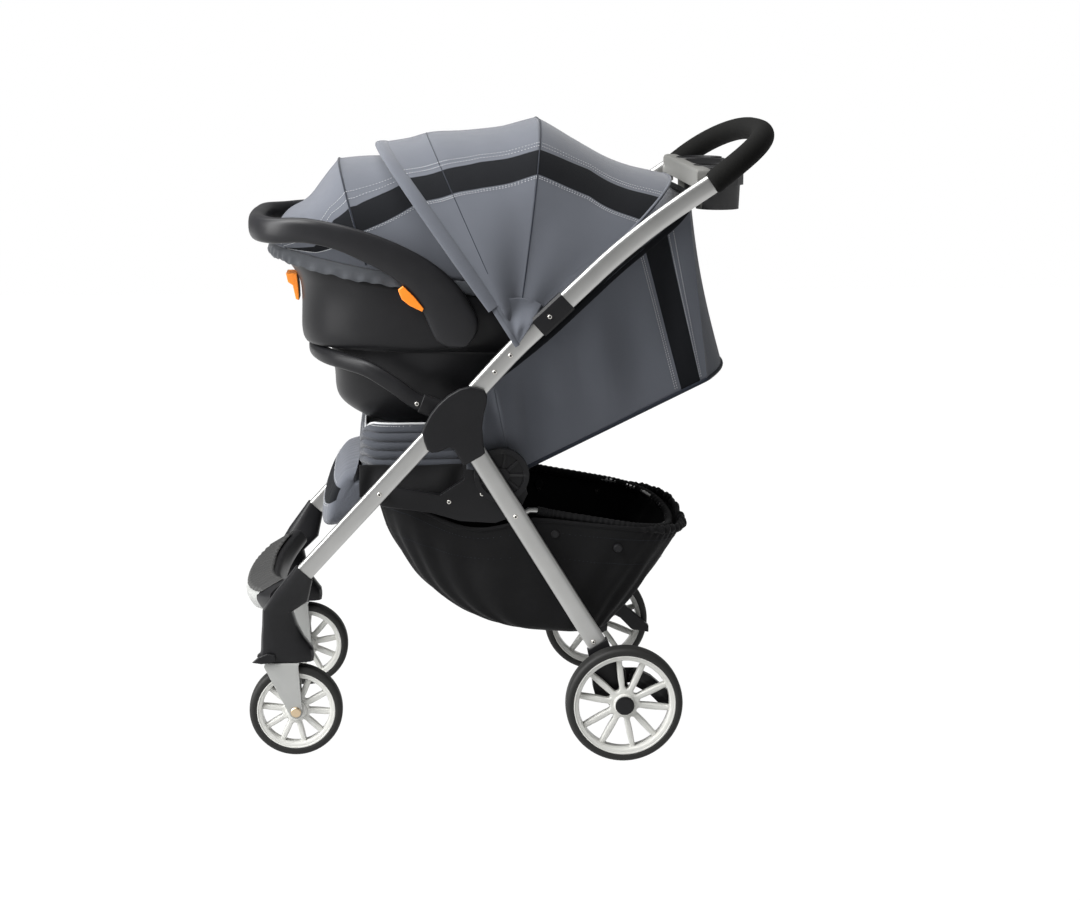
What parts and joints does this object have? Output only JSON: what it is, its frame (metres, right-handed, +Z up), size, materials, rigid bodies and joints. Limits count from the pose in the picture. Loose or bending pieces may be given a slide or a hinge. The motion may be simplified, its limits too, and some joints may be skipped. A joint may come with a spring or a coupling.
{
  "type": "travel system stroller",
  "caption": "Folding stroller frame with canopy, storage basket, footrest and padded seat, an infant carrier with its own handle and hood clicked on top.",
  "frame": {"origin": "floor level under the middle of the part's bounding box", "axes": "+Z up, -X the way the stroller rolls forwards, +X towards the push handle, -Y its left side"},
  "size_m": [0.8541, 0.5376, 0.9954],
  "materials": {
    "aluminium_tube": "satin brushed",
    "black_plastic": "fine moulded grain",
    "dark_grey_plastic": "satin moulded",
    "grey_plastic": "satin moulded",
    "rim_plastic": "painted silver",
    "tyre_rubber": "matt",
    "grip_foam": "matt foam",
    "plated_steel": "plated",
    "grey_cloth": "woven twill",
    "black_cloth": "woven",
    "orange_plastic": "satin moulded"
  },
  "bodies": {
    "front_frame": {"front_leg_left": "aluminium_tube", "front_leg_right": "aluminium_tube", "hub_cover_left": "black_plastic", "hub_cover_right": "black_plastic", "hub_pin_left": "plated_steel", "hub_pin_right": "plated_steel", "front_boot_left": "black_plastic", "front_boot_right": "black_plastic", "footrest": "grey_plastic", "footrest_mat": "dark_grey_plastic", "bumper_bar": "black_plastic", "seat_rail_left": "black_plastic", "seat_rail_right": "black_plastic", "seat_cross_tube": "aluminium_tube", "seat_pad": "grey_cloth", "calf_pad": "grey_cloth", "basket": "black_cloth", "basket_hoop": "aluminium_tube"},
    "upper_frame": {"push_tube": "aluminium_tube", "handle_grip": "grip_foam", "push_collar_left": "black_plastic", "push_collar_right": "black_plastic", "parent_tray": "grey_plastic", "canopy": "grey_cloth"},
    "rear_frame": {"rear_leg_left": "aluminium_tube", "rear_leg_right": "aluminium_tube", "rear_housing_left": "black_plastic", "rear_housing_right": "black_plastic", "rear_cross_tube": "black_plastic"},
    "canopy_front_bow_body": {"canopy_front_bow": "dark_grey_plastic"},
    "canopy_middle_bow_body": {"canopy_middle_bow": "dark_grey_plastic"},
    "backrest": {"backrest_board": "grey_cloth", "backrest_cloth": "grey_cloth"},
    "carrier": {"carrier_shell": "black_plastic", "carrier_liner": "grey_cloth", "carrier_canopy": "grey_cloth"},
    "carrier_handle_body": {"carrier_handle": "dark_grey_plastic"},
    "release_lever_body": {"release_lever": "orange_plastic"},
    "rear_wheel_left": {"rear_tyre_left": "tyre_rubber", "rear_rim_left": "rim_plastic", "rear_hub_cap_left": "black_plastic"},
    "caster_left": {"caster_fork_left": "grey_plastic", "front_axle_bolt_left": "plated_steel"},
    "front_wheel_left": {"front_tyre_left": "tyre_rubber", "front_rim_left": "rim_plastic"},
    "swivel_lock_body_left": {"swivel_lock_left": "black_plastic"},
    "brake_left": {"brake_pedal_left": "black_plastic"},
    "handle_button_body_left": {"handle_button_left": "orange_plastic"},
    "rear_wheel_right": {"rear_tyre_right": "tyre_rubber", "rear_rim_right": "rim_plastic", "rear_hub_cap_right": "black_plastic"},
    "caster_right": {"caster_fork_right": "grey_plastic", "front_axle_bolt_right": "plated_steel"},
    "front_wheel_right": {"front_tyre_right": "tyre_rubber", "front_rim_right": "rim_plastic"},
    "swivel_lock_body_right": {"swivel_lock_right": "black_plastic"},
    "brake_right": {"brake_pedal_right": "black_plastic"},
    "handle_button_body_right": {"handle_button_right": "orange_plastic"}
  },
  "joints": [
    {"name": "frame_fold", "type": "hinge", "parent": "front_frame", "child": "upper_frame", "pos_m": [-0.0911, 0, 0.546], "axis": [0, 1, 0], "range_deg": [0, 88]},
    {"name": "rear_fold", "type": "hinge", "parent": "front_frame", "child": "rear_frame", "pos_m": [-0.0911, 0, 0.546], "axis": [0, 1, 0], "range_deg": [0, 54]},
    {"name": "canopy_front_fold", "type": "hinge", "parent": "canopy_middle_bow_body", "child": "canopy_front_bow_body", "pos_m": [0.0089, 0, 0.67], "axis": [0, 1, 0], "range_deg": [0, 37], "deforming": ["canopy", "canopy_front_bow"]},
    {"name": "canopy_middle_fold", "type": "hinge", "parent": "upper_frame", "child": "canopy_middle_bow_body", "pos_m": [0.0089, 0, 0.67], "axis": [0, 1, 0], "range_deg": [0, 31], "deforming": ["canopy_middle_bow"]},
    {"name": "carrier_lift", "type": "slide", "parent": "front_frame", "child": "carrier", "axis": [0, 0, 1], "range_m": [0, 0.55]},
    {"name": "backrest_recline", "type": "hinge", "parent": "front_frame", "child": "backrest", "pos_m": [-0.0091, 0, 0.462], "axis": [0, -1, 0], "range_deg": [0, 45], "deforming": ["backrest_cloth"]},
    {"name": "carrier_handle_turn", "type": "hinge", "parent": "carrier", "child": "carrier_handle_body", "pos_m": [-0.0851, 0, 0.689], "axis": [0, 1, 0], "range_deg": [0, 124]},
    {"name": "release_lever_pull", "type": "hinge", "parent": "carrier", "child": "release_lever_body", "pos_m": [-0.3341, 0, 0.75], "axis": [0, 1, 0], "range_deg": [0, 20]},
    {"name": "handle_button_press_left", "type": "slide", "parent": "carrier_handle_body", "child": "handle_button_body_left", "axis": [0, 1, 0], "range_m": [0, 0.004]},
    {"name": "rear_wheel_spin_left", "type": "hinge", "parent": "rear_frame", "child": "rear_wheel_left", "pos_m": [0.1759, -0.25, 0.0925], "axis": [0, 1, 0], "continuous": true},
    {"name": "brake_press_left", "type": "hinge", "parent": "rear_frame", "child": "brake_left", "pos_m": [0.1979, -0.222, 0.127], "axis": [0, 1, 0], "range_deg": [0, 18]},
    {"name": "caster_swivel_left", "type": "hinge", "parent": "front_frame", "child": "caster_left", "pos_m": [-0.3641, -0.188, 0.15], "axis": [0, 0, 1], "continuous": true},
    {"name": "front_wheel_spin_left", "type": "hinge", "parent": "caster_left", "child": "front_wheel_left", "pos_m": [-0.3414, -0.188, 0.0739], "axis": [0, 1, 0], "continuous": true},
    {"name": "swivel_lock_turn_left", "type": "hinge", "parent": "front_frame", "child": "swivel_lock_body_left", "pos_m": [-0.3811, -0.2108, 0.164], "axis": [0, 1, 0], "range_deg": [0, 20]},
    {"name": "handle_button_press_right", "type": "slide", "parent": "carrier_handle_body", "child": "handle_button_body_right", "axis": [0, -1, 0], "range_m": [0, 0.004]},
    {"name": "rear_wheel_spin_right", "type": "hinge", "parent": "rear_frame", "child": "rear_wheel_right", "pos_m": [0.1759, 0.25, 0.0925], "axis": [0, 1, 0], "continuous": true},
    {"name": "brake_press_right", "type": "hinge", "parent": "rear_frame", "child": "brake_right", "pos_m": [0.1979, 0.222, 0.127], "axis": [0, 1, 0], "range_deg": [0, 18]},
    {"name": "caster_swivel_right", "type": "hinge", "parent": "front_frame", "child": "caster_right", "pos_m": [-0.3641, 0.188, 0.15], "axis": [0, 0, 1], "continuous": true},
    {"name": "front_wheel_spin_right", "type": "hinge", "parent": "caster_right", "child": "front_wheel_right", "pos_m": [-0.3414, 0.188, 0.0739], "axis": [0, 1, 0], "continuous": true},
    {"name": "swivel_lock_turn_right", "type": "hinge", "parent": "front_frame", "child": "swivel_lock_body_right", "pos_m": [-0.3811, 0.2108, 0.164], "axis": [0, 1, 0], "range_deg": [0, 20]}
  ],
  "couplings": [
    {"joint": "rear_fold", "follows": "frame_fold", "ratio": 0.61364},
    {"joint": "canopy_middle_fold", "follows": "canopy_front_fold", "ratio": 0.83774},
    {"joint": "backrest_recline", "follows": "carrier_lift", "rad_per_m": 1.42},
    {"joint": "brake_press_right", "follows": "brake_press_left", "ratio": 1}
  ]
}
